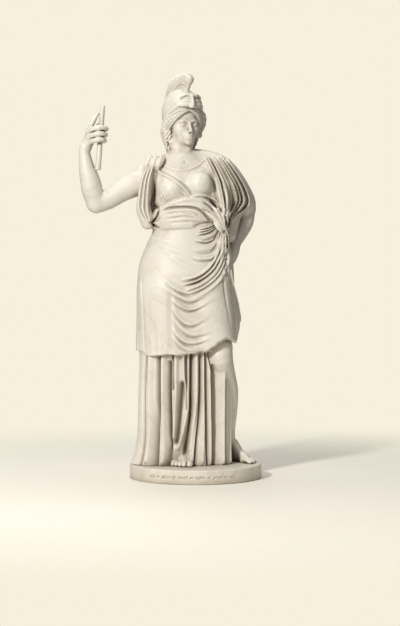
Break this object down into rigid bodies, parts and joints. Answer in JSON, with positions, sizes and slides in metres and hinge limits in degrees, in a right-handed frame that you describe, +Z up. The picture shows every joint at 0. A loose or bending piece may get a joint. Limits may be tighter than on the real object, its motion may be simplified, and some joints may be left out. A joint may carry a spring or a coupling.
{
  "type": "helmeted woman statue",
  "caption": "Standing marble figure of a woman in a crested helmet and long draped dress, one hand on the hip and one raised with a short rod, on a round plinth.",
  "frame": {"origin": "centre of the plinth's underside, on the floor", "axes": "+Z up; the figure's chest faces -Y; +X is a viewer's right, the figure's own left"},
  "size_m": [0.9175, 0.666, 2.0406],
  "materials": {
    "marble": "honed warm white marble, lightly weathered",
    "plinth_marble": "dull warm white marble"
  },
  "bodies": {
    "root": {"figure": "marble", "plinth": "plinth_marble"}
  },
  "joints": []
}
